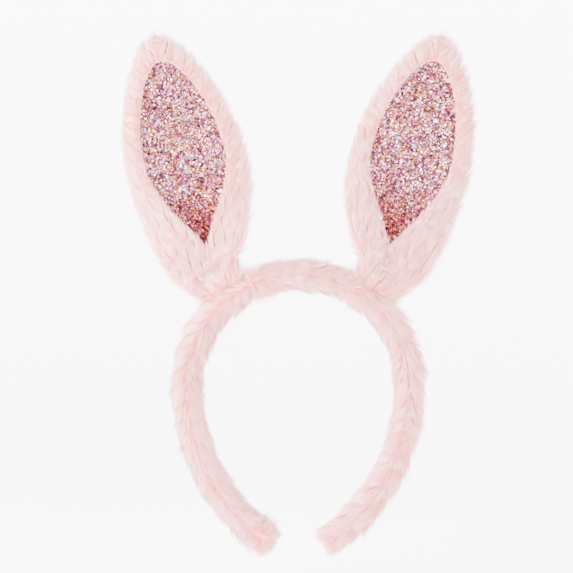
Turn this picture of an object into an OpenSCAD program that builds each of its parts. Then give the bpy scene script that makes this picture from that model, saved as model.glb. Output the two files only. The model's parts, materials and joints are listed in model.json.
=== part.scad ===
// Animal ears headband: a fur-covered spring band with two posable padded ears.
// Millimetres, +Z up, front faces -Y. The origin is on the inner face of the crown,
// where the band sits on the head.

/* [Band] */
// Radius of the crown, measured to the middle of the band
crown_radius = 71; // [60:1:85]
// Radius of each leg below the crown, to the middle of the band
leg_radius = 120; // [100:1:150]
// How far each leg curls in below the crown, in degrees
leg_sweep = 57; // [45:1:62]
// Thickness of the fur sleeve between head and outside
sleeve_thick = 19; // [15:0.5:24]
// Depth of the fur sleeve from front to back
sleeve_depth = 22; // [19:0.5:28]
// Where each leg flexes, in degrees from the top of the crown
flex_angle = 25; // [20:1:30]
// Degrees each leg can open at its flex line
open_deg = 12; // [6:1:16]
// Degrees each leg can close at its flex line
close_deg = 3; // [2:0.5:6]

/* [Spring strip] */
// Width of the spring strip from front to back
strip_width = 10; // [6:0.5:14]
// Thickness of the spring strip
strip_thick = 1.8; // [1.2:0.1:3]

/* [Ears] */
// Where each ear stands on the band, in degrees from the top
ear_angle = 37.5; // [33:0.5:45]
// How far each ear leans outward, in degrees
ear_lean = 14.3; // [5:0.1:25]
// Distance from the ear's pivot to its tip
ear_reach = 165; // [130:1:185]
// Half width of the ear at its widest
ear_half_width = 37; // [28:0.5:45]
// Half width of the gathered foot of the ear
foot_half_width = 18; // [14:0.5:22]
// Depth of the fold down the middle of the foot
fold_depth = 9; // [4:0.5:12]
// Depth of the shallow cup in the upper half
cup_depth = 3; // [0:0.5:6]
// Thickness of the front fur border
border_thick = 5; // [3:0.5:7]
// Thickness of the back fur
back_thick = 6; // [4:0.5:8]

/* [Glitter panel] */
// Half width of the visible glitter at its widest
panel_half_width = 27; // [18:0.5:32]
// Lower point of the visible glitter, from the ear's pivot
panel_low = 16; // [12:1:35]
// Height of the fur above the glitter at the ear's tip
panel_top = 20; // [10:1:40]

/* [Hidden] */
$fn = 64;
half_thick = sleeve_thick / 2;
crown_z = half_thick - crown_radius;      // height of the crown's centre of curvature
// The sleeve is two rounds, as large as its smaller side allows, set apart along the larger one.
round_r = min(sleeve_thick, sleeve_depth) / 2;
round_x = half_thick - round_r;
round_y = sleeve_depth / 2 - round_r;
slot_gap = 0.15;
knuckle_r = strip_thick / 2 + 0.3;        // the leg strip's round end, on the flex line
thread_r = 0.6;
thread_gap = 0.1;
leg_centre_x = crown_radius - leg_radius;
collar_r = 5.6;                           // the wrapped roll under the ear, at its middle
collar_end_r = 3.4;
collar_half = 12;
pivot_above = collar_r + 0.4;             // height of the ear's pivot over the sleeve
wire_r = 0.8;
strip_end = leg_sweep - 3;

// The foot's edge lies along the band, so it crosses the leaning ear at a slope.
lean_from_radial = ear_angle - ear_lean;
foot_gap = 0.4;                           // from the roll to the foot's edge
foot_reach = (collar_r + foot_gap) / cos(lean_from_radial);
foot_slope = tan(lean_from_radial);
ear_height = ear_reach - foot_reach;
wide_at = 0.43;                           // share of the height where the ear is widest

function clamp01(x) = max(0, min(1, x));
function ease(x) = let (c = clamp01(x)) c * c * (3 - 2 * c);
function mix(a, b, q) = a + (b - a) * q;

// Half width of the ear at a share s of its height.
function ear_w(s) = s < wide_at
    ? mix(foot_half_width, ear_half_width, pow(sin(90 * s / wide_at), 0.6))
    : ear_half_width * pow(sin(90 * (1 - s) / (1 - wide_at)), 0.65);

// Half width of the hole in the fur border, which closes to a slit below the glitter.
panel_s0 = (panel_low - foot_reach) / ear_height;
panel_s1 = (ear_reach - panel_top - foot_reach) / ear_height;
slit_s = 0.02;
function hole_w(s) = let (q = clamp01((s - panel_s0) / (panel_s1 - panel_s0)))
    max(0.35, panel_half_width * pow(sin(180 * q), q < 0.5 ? 1.42 : 0.55));

// Half width of the wire loop: inside the outer seam, drawn together at the foot.
function wire_w(s) = mix(1.5, ear_w(s) - 3.6, ease(s / 0.3));

// Middle surface: folded at the foot, slightly cupped above.
function fold(s) = mix(fold_depth, cup_depth, ease(s / 0.62));
function mid_y(s, u) = fold(s) * (0.45 - pow(min(1, abs(u) / max(ear_w(s), 1)), 1.3));
function along(s, u) = foot_reach + s * ear_height - foot_slope * (1 - ease(s / 0.35)) * u;
function at(s, u, y) = [u, mid_y(s, u) + y, along(s, u)];
function fullness(s) = mix(0.55, 1, ease(s / 0.3)); // the layers thin toward the foot

// Faces of a grid of points with n rings of m points each; ends are capped.
function ring_faces(n, m, closed) = concat(
    [for (i = [0 : n - (closed ? 1 : 2)], j = [0 : m - 1], t = [0, 1])
        let (a = i * m + j, b = i * m + (j + 1) % m,
             c = ((i + 1) % n) * m + (j + 1) % m, d = ((i + 1) % n) * m + j)
        t == 0 ? [a, b, c] : [a, c, d]],
    closed ? [] : [[for (j = [m - 1 : -1 : 0]) j], [for (j = [0 : m - 1]) (n - 1) * m + j]]);

// A layer between two offsets of the middle surface. Each cross row is one closed ring.
module layer(s0, s1, rows, cols, width, front, back) {
    sections = [for (i = [0 : rows]) let (s = mix(s0, s1, (1 - cos(180 * i / rows)) / 2),
                                          w = max(0.4, call_w(width, s)))
        concat([for (j = [0 : cols]) let (k = 2 * j / cols - 1) at(s, k * w, off(front, s, k))],
               [for (j = [cols : -1 : 0]) let (k = 2 * j / cols - 1) at(s, k * w, off(back, s, k))])];
    points = [for (r = sections) each r];
    polyhedron(points, ring_faces(rows + 1, 2 * (cols + 1), false), convexity = 6);
}
function call_w(kind, s) = kind == "whole" ? ear_w(min(s, 0.9995))
    : kind == "panel" ? min(hole_w(s) + 3, ear_w(s) - 4) : wire_w(s) - 1.7;
// Offset from the middle surface at cross position k, -1 to 1, of each named face.
function off(face, s, k) = let (dome = sqrt(max(0, 1 - k * k)))
    face == "back_inside" ? (abs(k) > 0.93 ? 1.5 : 2.8)
    : face == "back_outside" ? 3.1 + (back_thick - 0.3) * fullness(s) * min(1, 1.2 * dome)
        * min(1, 1.5 * sqrt(max(0, 1 - pow(s, 6))))
    : face;

// ---- band ----

module upright() rotate([90, 0, 0]) children(); // lays an XY drawing in the XZ plane

// An arc of the band: a profile swept about a centre, from one angle to another,
// both measured from straight up toward +X.
module arc(centre, radius, from, to)
    translate([centre[0], 0, centre[1]]) upright()
        rotate([0, 0, 90 - to]) rotate_extrude(angle = to - from, $fn = 128)
            translate([radius, 0]) children();

module sleeve_profile() {
    for (s = [-1, 1]) translate([s * round_x, s * round_y]) circle(round_r);
    if (round_y > 0) square([sleeve_thick, 2 * round_y], center = true);
    if (round_x > 0) square([2 * round_x, sleeve_depth], center = true);
}
module strip_profile(grow) square([strip_thick + 2 * grow, strip_width + 2 * grow], center = true);

crown_c = [0, crown_z];
leg_c = [leg_centre_x, crown_z];

// The right leg's course: down the crown's curve, then the leg's own gentler curve.
// The profile may lie off the middle of the band by the same distance on both.
module leg_course(from, to, shift = 0) {
    arc(crown_c, crown_radius + shift, from, 90) children();
    translate([leg_c[0], 0, leg_c[1]]) upright()
        mirror([0, 1, 0]) rotate_extrude(angle = to, $fn = 128)
            translate([leg_radius + shift, 0]) children();
}

function on_crown(a, r) = [r * sin(a), 0, crown_z + r * cos(a)];
module at_flex() translate(on_crown(flex_angle, crown_radius)) rotate([0, flex_angle, 0]) children();

// Clearance at the flex line: a wedge outside for opening and one inside for closing.
module flex_gap() {
    g = 0.25;
    h = half_thick + 3;
    wo = g + h * tan(open_deg / 2 + 0.8);
    wi = g + h * tan(close_deg / 2 + 0.8);
    at_flex() rotate([90, 0, 0])
        linear_extrude(sleeve_depth + 4, center = true)
            polygon([[-g, 0], [-wo, h], [wo, h], [g, 0], [wi, -h], [-wi, -h]]);
}
module knuckle(grow) at_flex() rotate([90, 0, 0])
    cylinder(h = strip_width + 2 * grow, r = knuckle_r + grow, center = true);
module both() { children(); mirror([1, 0, 0]) children(); }
module left() mirror([1, 0, 0]) children();

module crown_strip() color("white") difference() {
    arc(crown_c, crown_radius, -flex_angle, flex_angle) strip_profile(0);
    both() knuckle(slot_gap);
}

module leg_strip() color("white") {
    leg_course(flex_angle, strip_end) strip_profile(0);
    knuckle(0);
}

module crown_sleeve() color("pink") difference() {
    arc(crown_c, crown_radius, -flex_angle, flex_angle) sleeve_profile();
    arc(crown_c, crown_radius, -flex_angle - 1, flex_angle + 1) strip_profile(slot_gap);
    both() { flex_gap(); knuckle(slot_gap); }
    crown_thread(thread_gap);
}

module leg_sleeve() color("pink") difference() {
    leg_course(flex_angle, leg_sweep) sleeve_profile();
    leg_course(flex_angle - 1, strip_end + 0.1) strip_profile(slot_gap);
    flex_gap();
    knuckle(slot_gap);
    leg_thread(thread_gap);
}

// The closing seam runs along the inside of the sleeve, half sunk in the fur.
seam_end = 3; // degrees each seam stops short of a sleeve's end
module crown_thread(grow)
    arc(crown_c, crown_radius - half_thick, -flex_angle + seam_end, flex_angle - seam_end)
        circle(thread_r + grow, $fn = 24);
module leg_thread(grow)
    leg_course(flex_angle + seam_end, strip_end, -half_thick) circle(thread_r + grow, $fn = 24);

// The sleeve's end is drawn together over a small round patch.
patch_r = half_thick - 0.6;
patch_high = 3.2;
patch_ball = (patch_r * patch_r + patch_high * patch_high) / (2 * patch_high);
stitch_ring = patch_r - 2.4;
module at_tip()
    translate([leg_centre_x + leg_radius * cos(leg_sweep), 0, crown_z - leg_radius * sin(leg_sweep)])
        rotate([0, 180 + leg_sweep, 0]) children();
ring_high = patch_high - patch_ball + sqrt(patch_ball * patch_ball - stitch_ring * stitch_ring);
module tip_ring(grow) at_tip() translate([0, 0, ring_high])
    rotate_extrude() translate([stitch_ring, 0]) circle(thread_r + grow, $fn = 24);

module tip_patch() color("lightpink") difference() {
    at_tip() intersection() {
        translate([0, 0, patch_high - patch_ball]) sphere(patch_ball);
        translate([0, 0, 0.05]) cylinder(h = patch_high + 1, r = patch_r + 2);
    }
    tip_ring(thread_gap);
}

// ---- ears, drawn for the right side about the ear's pivot and mirrored for the left ----

pivot = on_crown(ear_angle, crown_radius + half_thick + pivot_above);
module ear_place() translate(pivot) rotate([0, ear_lean, 0]) children();

module back_fur() color("pink") ear_place()
    layer(0, 1, 26, 14, "whole", "back_inside", "back_outside");

module stiffener() color("white") ear_place() layer(0.12, 0.915, 18, 8, "stiff", 1.0, 2.5);

module glitter_panel() color("hotpink") ear_place()
    layer(0.045, panel_s1 + 0.02, 22, 10, "panel", 0.1, 0.6);

// Front border: a rounded section swept round the glitter, from the hole to the outer seam.
module front_fur() color("pink") ear_place() {
    rise = 24;
    foot = 6;
    stations = concat(
        [for (i = [0 : rise]) [(1 - cos(180 * i / rise)) / 2, 1]],
        [for (i = [rise : -1 : 0]) [(1 - cos(180 * i / rise)) / 2, -1]],
        [for (i = [1 : foot - 1]) [0, 2 * i / foot - 1]]);
    front = [0, 0.04, 0.15, 0.35, 0.6, 0.82, 0.95, 1];
    back = [1, 0.93, 0.9, 0.5, 0];
    sections = [for (t = stations)
        let (so = min(t[0], 0.9995), uo = max(0.4, ear_w(so)) * t[1],
             si = mix(slit_s, panel_s1, t[0]), ui = max(0.35, hole_w(si)) * t[1],
             full = fullness(so))
        concat(
            [for (q = front) let (s = mix(si, so, q), u = mix(ui, uo, q))
                at(s, u, -0.6 - (border_thick - 0.6) * full * pow(sin(180 * q), 0.6))],
            [for (q = back) let (s = mix(si, so, q), u = mix(ui, uo, q))
                at(s, u, q > 0.92 ? 1.3 : -0.1)])];
    points = [for (r = sections) each r];
    polyhedron(points, ring_faces(len(sections), len(front) + len(back), true), convexity = 8);
}

module wire_frame() color("silver") ear_place() {
    n = 40;
    path = concat(
        [for (i = [0 : n]) let (s = mix(0.015, 0.972, (1 - cos(180 * i / n)) / 2))
            [s, wire_w(s) * pow(min(1, (0.976 - s) / 0.05), 0.5)]],
        [for (i = [n : -1 : 0]) let (s = mix(0.015, 0.972, (1 - cos(180 * i / n)) / 2))
            [s, -wire_w(s) * pow(min(1, (0.976 - s) / 0.05), 0.5)]]);
    line = [for (p = path) at(p[0], p[1], 1.5)];
    last = len(line) - 1;
    sections = [for (i = [0 : last])
        let (d = line[min(last, i + 1)] - line[max(0, i - 1)], t = d / norm(d),
             a = cross([0, 1, 0], t), side = a / norm(a), up = cross(t, side))
        [for (j = [0 : 7]) line[i] + wire_r * (cos(45 * j) * side + sin(45 * j) * up)]];
    points = [for (r = sections) each r];
    polyhedron(points, ring_faces(last + 1, 8, false), convexity = 8);
}

// Under the foot lies a wrapped roll along the band. Fuller in the middle, it can rock
// sideways on the sleeve, and the ear's foot turns round it fore and aft.
module along_roll() translate(pivot) rotate([0, ear_angle + 90, 0]) children();
collar_curve = (collar_half * collar_half + pow(collar_r - collar_end_r, 2))
    / (2 * (collar_r - collar_end_r));
root_wire_r = 1;
module collar() color("lightpink") along_roll() difference() {
    rotate_extrude() intersection() {
        translate([collar_r - collar_curve, 0]) circle(collar_curve, $fn = 256);
        translate([0, -collar_half]) square([collar_r, 2 * collar_half]);
    }
    cylinder(h = 3 * collar_half, r = root_wire_r + 0.1, center = true, $fn = 32);
    bound_ring(thread_gap);
}
module root_wire() color("silver") along_roll()
    cylinder(h = 2 * collar_half - 1, r = root_wire_r, center = true, $fn = 32);
module bound_ring(grow) rotate_extrude()
    translate([collar_r - thread_r, 0]) circle(thread_r + grow, $fn = 24);
module binding() color("lightpink") along_roll() bound_ring(0);

crown_strip();
crown_sleeve();
color("deeppink") crown_thread(0);  // crown_seam
leg_strip();  // right_leg_strip
leg_sleeve();  // right_leg_sleeve
color("deeppink") leg_thread(0);  // right_leg_seam
tip_patch();  // right_tip_patch
color("deeppink") tip_ring(0);  // right_tip_stitches
left() leg_strip();  // left_leg_strip
left() leg_sleeve();  // left_leg_sleeve
color("deeppink") left() leg_thread(0);  // left_leg_seam
left() tip_patch();  // left_tip_patch
color("deeppink") left() tip_ring(0);  // left_tip_stitches
collar();  // right_ear_collar
root_wire();  // right_ear_root_wire
binding();  // right_ear_binding
back_fur();  // right_ear_back_fur
front_fur();  // right_ear_front_fur
glitter_panel();  // right_ear_glitter
stiffener();  // right_ear_stiffener
wire_frame();  // right_ear_wire_frame
left() collar();  // left_ear_collar
left() root_wire();  // left_ear_root_wire
left() binding();  // left_ear_binding
left() back_fur();  // left_ear_back_fur
left() front_fur();  // left_ear_front_fur
left() glitter_panel();  // left_ear_glitter
left() stiffener();  // left_ear_stiffener
left() wire_frame();  // left_ear_wire_frame
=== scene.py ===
# %% [markdown]
# # A furry headband with two glitter ears
# The band is a spring strip in a fur tube. Two padded ears stand on it, each with a fur border
# round a teardrop of glitter cloth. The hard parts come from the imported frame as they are;
# everything soft is made here: cloth skins first, then the pile that grows out of them.

# %% Load the frame
import json
import math

import bpy
import numpy as np
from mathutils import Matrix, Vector


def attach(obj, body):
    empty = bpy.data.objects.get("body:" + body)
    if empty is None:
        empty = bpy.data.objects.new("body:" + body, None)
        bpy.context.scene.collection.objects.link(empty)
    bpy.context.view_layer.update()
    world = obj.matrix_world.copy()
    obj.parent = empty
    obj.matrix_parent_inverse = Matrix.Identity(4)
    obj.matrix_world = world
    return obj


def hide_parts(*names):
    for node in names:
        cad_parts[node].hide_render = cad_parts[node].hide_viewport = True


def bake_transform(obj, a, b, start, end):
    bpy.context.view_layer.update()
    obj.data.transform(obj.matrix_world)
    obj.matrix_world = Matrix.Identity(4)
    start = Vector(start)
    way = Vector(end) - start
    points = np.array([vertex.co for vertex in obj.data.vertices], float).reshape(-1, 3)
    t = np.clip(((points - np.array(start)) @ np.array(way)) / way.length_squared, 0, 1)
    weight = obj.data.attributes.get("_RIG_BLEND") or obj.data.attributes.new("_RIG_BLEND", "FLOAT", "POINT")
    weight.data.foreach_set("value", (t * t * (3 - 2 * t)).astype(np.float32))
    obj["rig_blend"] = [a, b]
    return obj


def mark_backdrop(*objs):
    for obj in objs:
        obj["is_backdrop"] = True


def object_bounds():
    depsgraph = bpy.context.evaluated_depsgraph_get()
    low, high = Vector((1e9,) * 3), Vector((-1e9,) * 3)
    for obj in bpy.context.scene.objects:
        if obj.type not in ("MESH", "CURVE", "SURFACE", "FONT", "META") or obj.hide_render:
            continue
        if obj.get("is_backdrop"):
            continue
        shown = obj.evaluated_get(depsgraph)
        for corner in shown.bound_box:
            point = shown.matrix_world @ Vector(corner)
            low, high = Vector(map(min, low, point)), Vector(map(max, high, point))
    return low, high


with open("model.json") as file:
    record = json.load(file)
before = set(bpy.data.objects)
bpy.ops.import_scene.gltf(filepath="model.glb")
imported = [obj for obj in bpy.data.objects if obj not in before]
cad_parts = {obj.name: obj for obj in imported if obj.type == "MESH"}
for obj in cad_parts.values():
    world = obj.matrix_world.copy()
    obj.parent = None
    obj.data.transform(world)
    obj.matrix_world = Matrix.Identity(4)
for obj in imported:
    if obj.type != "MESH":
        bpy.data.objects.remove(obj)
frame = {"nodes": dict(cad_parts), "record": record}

cad_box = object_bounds()
MM = 0.001
joints = {j["name"]: j for j in frame["record"]["behaviour"]["joints"]}

# %% [markdown]
# ## Sizes
# The band's middle line is a half circle over the head and a gentler arc down each side.
# Each ear stands at its pivot and leans outward. These are the same sizes as the frame's.

# %% Sizes of the band and the ears
CROWN_R = 71 * MM
LEG_R = 120 * MM
LEG_SWEEP = math.radians(57)
SLEEVE_HALF = 9.5 * MM
CROWN_Z = SLEEVE_HALF - CROWN_R
CROWN_ARC = CROWN_R * math.pi / 2
BAND_HALF = CROWN_ARC + LEG_R * LEG_SWEEP
FLEX = CROWN_R * math.radians(25)

EAR_LEAN = math.radians(14.3)
EAR_ANGLE = math.radians(37.5)
EAR_REACH = 165 * MM
EAR_HALF = 37 * MM
FOOT_HALF = 18 * MM
FOOT_REACH = 6.0 * MM / math.cos(EAR_ANGLE - EAR_LEAN)
FOOT_SLOPE = math.tan(EAR_ANGLE - EAR_LEAN)
EAR_HEIGHT = EAR_REACH - FOOT_REACH
PANEL_HALF = 27 * MM
PANEL_LOW, PANEL_HIGH = 16 * MM, 145 * MM
PIVOT = Vector(joints["right_ear_tilt"]["pos_m"])
HINGE = Vector(joints["right_leg_flex"]["pos_m"])
SIDES = {"right": 1, "left": -1}
print("band length tip to tip %.0f mm" % (2 * BAND_HALF / MM))


# %% [markdown]
# ## Mesh helpers
# A soft piece is built as rings of points joined by quads, the way a knitter works in rounds.
# The helper closes the ends, turns the faces outward and leaves the object at the origin.

# %% Rings to meshes
def new_piece(name, verts, faces, material=None):
    mesh = bpy.data.meshes.new(name)
    mesh.from_pydata([tuple(v) for v in verts], [], faces)
    mesh.validate()
    piece = bpy.data.objects.new(name, mesh)
    bpy.context.scene.collection.objects.link(piece)
    if material:
        mesh.materials.append(material)
    for p in mesh.polygons:
        p.use_smooth = True
    return piece


def from_rings(name, rings, closed=False, material=None):
    """Joins rings of equal size. Open rows of rings get a middle point at each end."""
    n, m = len(rings), len(rings[0])
    verts = np.concatenate([np.asarray(r, float) for r in rings])
    rows = n if closed else n - 1
    faces = [(i * m + j, i * m + (j + 1) % m, ((i + 1) % n) * m + (j + 1) % m,
              ((i + 1) % n) * m + j) for i in range(rows) for j in range(m)]
    if not closed:
        ends = np.array([np.mean(rings[0], axis=0), np.mean(rings[-1], axis=0)])
        verts = np.concatenate([verts, ends])
        a, b = n * m, n * m + 1
        faces += [((j + 1) % m, j, a) for j in range(m)]
        faces += [((n - 1) * m + j, (n - 1) * m + (j + 1) % m, b) for j in range(m)]
    piece = new_piece(name, verts, faces, material)
    if signed_volume(piece.data) < 0:
        piece.data.flip_normals()
    return piece


def signed_volume(mesh):
    mesh.calc_loop_triangles()
    co = np.empty(len(mesh.vertices) * 3)
    mesh.vertices.foreach_get("co", co)
    tris = np.empty(len(mesh.loop_triangles) * 3, dtype=int)
    mesh.loop_triangles.foreach_get("vertices", tris)
    p = co.reshape(-1, 3)[tris.reshape(-1, 3)]
    return float(np.einsum("ij,ij->i", p[:, 0], np.cross(p[:, 1], p[:, 2])).sum() / 6)


# %% [markdown]
# ## Reading and marking a mesh
# A pile needs to know which way it is combed, how long it is and how thickly it stands. Each of
# these could be painted by hand. Here they are worked out from where a point lies, and stored on
# the mesh as named values, because both sides then match and a change of size carries through.

# %% Reading points and storing values
def points_of(piece):
    co = np.empty(len(piece.data.vertices) * 3)
    piece.data.vertices.foreach_get("co", co)
    return co.reshape(-1, 3)


def normals_of(piece):
    no = np.empty(len(piece.data.vertices) * 3)
    piece.data.vertices.foreach_get("normal", no)
    return no.reshape(-1, 3)


def store(piece, name, values):
    """Keeps a number or a vector for each vertex, for the pile to read."""
    values = np.asarray(values, np.float32)
    kind, field = ("FLOAT_VECTOR", "vector") if values.ndim == 2 else ("FLOAT", "value")
    layer = piece.data.attributes.new(name, kind, "POINT")
    layer.data.foreach_set(field, values.ravel())


def attribute(piece, name):
    values = np.empty(len(piece.data.vertices), np.float32)
    piece.data.attributes[name].data.foreach_get("value", values)
    return values


def unit(v):
    return v / np.maximum(np.linalg.norm(v, axis=-1, keepdims=True), 1e-9)


def ease(x):
    c = np.clip(x, 0, 1)
    return c * c * (3 - 2 * c)


# %% [markdown]
# ## Colour
# The fibres are pale pink, painted a warmer salmon toward the root as painted shade in the furrows
# between locks and near white toward the tip as painted highlight, so the furrows read as soft
# streaks. Each strand carries its own tone and its place from root to tip in a UV map, and one
# shader group turns the two into colour. The cloth skins use the same group at the root end, so
# a parting shows the same painted shade and never a foreign colour.

# %% Shader group for the fibre's colour and its painted shade
def rgb(r, g, b):
    """An sRGB colour, 0 to 255, as linear values."""
    def line(c):
        c /= 255
        return c / 12.92 if c <= 0.04045 else ((c + 0.055) / 1.055) ** 2.4
    return (line(r), line(g), line(b), 1)


def set_ramp(node, stops, steps=False):
    ramp = node.color_ramp
    ramp.interpolation = "CONSTANT" if steps else "LINEAR"
    while len(ramp.elements) > 1:
        ramp.elements.remove(ramp.elements[-1])
    ramp.elements[0].position, ramp.elements[0].color = stops[0]
    for place, colour in stops[1:]:
        ramp.elements.new(place).color = colour


def fibre_colour_and_shade_group():
    """Tone and place along the fibre in, colour out, painted darker at the root as shade and paler at the
    tip as highlight.
    """
    g = bpy.data.node_groups.new("fibre colour and painted shade", "ShaderNodeTree")
    for label in ("Tone", "Along"):
        g.interface.new_socket(label, in_out="INPUT", socket_type="NodeSocketFloat")
    g.interface.new_socket("Color", in_out="OUTPUT", socket_type="NodeSocketColor")
    gin, gout = g.nodes.new("NodeGroupInput"), g.nodes.new("NodeGroupOutput")
    # painted shade at the root end and painted highlight at the tip
    along = g.nodes.new("ShaderNodeValToRGB")
    set_ramp(along, [(0.0, rgb(226, 118, 108)), (0.3, rgb(241, 162, 156)),
                     (0.65, rgb(249, 194, 192)), (1.0, rgb(253, 219, 220))])
    tone = g.nodes.new("ShaderNodeValToRGB")
    set_ramp(tone, [(0.0, rgb(220, 146, 136)), (0.3, rgb(243, 210, 206)),
                    (0.6, rgb(255, 248, 248)), (1.0, rgb(255, 255, 255))])
    mix = g.nodes.new("ShaderNodeMix")
    mix.data_type, mix.blend_type = "RGBA", "MULTIPLY"
    mix.inputs["Factor"].default_value = 1.0
    g.links.new(gin.outputs["Along"], along.inputs["Fac"])
    g.links.new(gin.outputs["Tone"], tone.inputs["Fac"])
    g.links.new(along.outputs["Color"], mix.inputs["A"])
    g.links.new(tone.outputs["Color"], mix.inputs["B"])
    g.links.new(mix.outputs["Result"], gout.inputs["Color"])
    return g


FIBRE_COLOUR_AND_SHADE = fibre_colour_and_shade_group()


# %% [markdown]
# ## The pile's material
# The real fibre is a matt synthetic with a faint sheen where it turns away from the eye. A hair
# shader would suit strands drawn as curves. These strands are small cones, so a plain surface
# with a little sheen is used, and it reads each strand's own colour with its painted shade at
# the root and painted highlight at the tip.

# %% Material of the pile
def blank_material(name, roughness, **sockets):
    m = bpy.data.materials.new(name)
    m.use_nodes = True
    shader = m.node_tree.nodes["Principled BSDF"]
    shader.inputs["Roughness"].default_value = roughness
    for label, value in sockets.items():
        shader.inputs[label.replace("_", " ")].default_value = value
    return m, m.node_tree.nodes, m.node_tree.links, shader


def pile_material():
    """The pile: colour from each strand's own UV place, with a soft sheen."""
    m, nodes, links, shader = blank_material("faux fur pile", 0.65, Sheen_Weight=0.25,
                                             Sheen_Roughness=0.5)
    uv = nodes.new("ShaderNodeUVMap")
    uv.uv_map = "OFBake"
    split = nodes.new("ShaderNodeSeparateXYZ")
    group = nodes.new("ShaderNodeGroup")
    group.node_tree = FIBRE_COLOUR_AND_SHADE
    links.new(uv.outputs["UV"], split.inputs["Vector"])
    links.new(split.outputs["X"], group.inputs["Tone"])
    links.new(split.outputs["Y"], group.inputs["Along"])
    links.new(group.outputs["Color"], shader.inputs["Base Color"])
    return m


# %% [markdown]
# ## The backing's material
# Under the pile is a knitted backing. It shows only as a dark line in a parting, so it takes the
# fibre's root colour, which is painted shade, with a fine grain of its own in colour and in bump.

# %% Material of the knitted backing
def skin_material():
    """The knitted backing under the pile, in the painted shade of the fibre's root."""
    m, nodes, links, shader = blank_material("fur backing", 0.85)
    place = nodes.new("ShaderNodeTexCoord")
    noise = nodes.new("ShaderNodeTexNoise")
    noise.inputs["Scale"].default_value = 420
    noise.inputs["Detail"].default_value = 3
    group = nodes.new("ShaderNodeGroup")
    group.node_tree = FIBRE_COLOUR_AND_SHADE
    # painted shade: the backing takes the root end of the fibre colour
    group.inputs["Along"].default_value = 0.05
    bump = nodes.new("ShaderNodeBump")
    bump.inputs["Strength"].default_value = 0.4
    bump.inputs["Distance"].default_value = 0.0004
    links.new(place.outputs["Object"], noise.inputs["Vector"])
    links.new(noise.outputs["Fac"], group.inputs["Tone"])
    links.new(noise.outputs["Fac"], bump.inputs["Height"])
    links.new(group.outputs["Color"], shader.inputs["Base Color"])
    links.new(bump.outputs["Normal"], shader.inputs["Normal"])
    return m


PILE = pile_material()
SKIN = skin_material()


# %% [markdown]
# ## The pile
# Faux fur is far too fine to draw fibre by fibre, so each strand stands for a small bundle. A
# node tree scatters roots over a skin and sets a slim three-sided cone on each. Every strand
# leaves the cloth steeply, bends over the way the pile is combed, and then leans toward the
# middle of its lock, which is what makes fur look like fur and not like grass.

# %% Short calls for building node trees
def tree(name, inputs):
    g = bpy.data.node_groups.new(name, "GeometryNodeTree")
    g.interface.new_socket("Geometry", in_out="INPUT", socket_type="NodeSocketGeometry")
    for label, kind, value in inputs:
        socket = g.interface.new_socket(label, in_out="INPUT", socket_type="NodeSocket" + kind)
        if value is not None:
            socket.default_value = value
    g.interface.new_socket("Geometry", in_out="OUTPUT", socket_type="NodeSocketGeometry")
    return g, g.nodes.new("NodeGroupInput").outputs, g.nodes.new("NodeGroupOutput").inputs


def add(g, kind, sockets=None, **settings):
    """Adds a node. A socket's value is another node's output or a constant."""
    n = g.nodes.new(kind)
    for key, value in settings.items():
        setattr(n, key, value)
    for key, value in (sockets or {}).items():
        if isinstance(value, bpy.types.NodeSocket):
            g.links.new(value, n.inputs[key])
        else:
            n.inputs[key].default_value = value
    return n


# %% [markdown]
# ## Arithmetic in a tree
# The strand's bend is a formula, and every operation of a formula is a node. These calls keep it
# readable: one makes a sum or a product, one does the same to arrows, and two read and write the
# values that are stored on the mesh.

# %% Arithmetic and stored values in a tree
def calc(g, operation, a, b=0.0, c=None):
    sockets = {0: a, 1: b} if c is None else {0: a, 1: b, 2: c}
    return add(g, "ShaderNodeMath", sockets, operation=operation).outputs[0]


def vec(g, operation, a, b=None, scale=None):
    sockets = {0: a}
    if b is not None:
        sockets[1] = b
    if scale is not None:
        sockets["Scale"] = scale
    n = add(g, "ShaderNodeVectorMath", sockets, operation=operation)
    return n.outputs["Value" if operation in ("DOT_PRODUCT", "LENGTH") else "Vector"]


def named(g, name, kind="FLOAT_VECTOR"):
    return add(g, "GeometryNodeInputNamedAttribute", {"Name": name}, data_type=kind).outputs[0]


def keep(g, geometry, name, value, kind="FLOAT_VECTOR", domain="POINT"):
    return add(g, "GeometryNodeStoreNamedAttribute",
               {"Geometry": geometry, "Name": name, "Value": value},
               data_type=kind, domain=domain).outputs["Geometry"]


# %% [markdown]
# ## From a tree to a plain mesh
# A modifier would grow the pile anew at every pose. The finished object is a plain mesh instead,
# so that it can bend with the body that it is sewn to. The working values are removed from it.

# %% From a tree to a plain mesh
def run(skin, g, name, values):
    """Evaluates a tree on a piece and returns the result as a plain mesh object."""
    ids = {i.name: i.identifier for i in g.interface.items_tree if i.in_out == "INPUT"}
    mod = skin.modifiers.new("make", "NODES")
    mod.node_group = g
    for label, value in values.items():
        mod[ids[label]] = value
    graph = bpy.context.evaluated_depsgraph_get()
    mesh = bpy.data.meshes.new_from_object(skin.evaluated_get(graph),
                                           preserve_all_data_layers=True, depsgraph=graph)
    skin.modifiers.remove(mod)
    for layer in [a.name for a in mesh.attributes
                  if a.name in ("comb", "pile", "lift", "thick", "root", "nrm", "rnd", "local")]:
        mesh.attributes.remove(mesh.attributes[layer])
    mesh.name = name
    made = bpy.data.objects.new(name, mesh)
    bpy.context.scene.collection.objects.link(made)
    return made


# %% [markdown]
# ## One strand on every root
# A brush maker sets each tuft in its own hole. The tree does the same: it scatters roots over
# the skin and sets one cone on each. A cone and its root keep what the later steps ask for:
# where on the cone a point lies, where the root is, which way is out, and the strand's luck.

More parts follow.
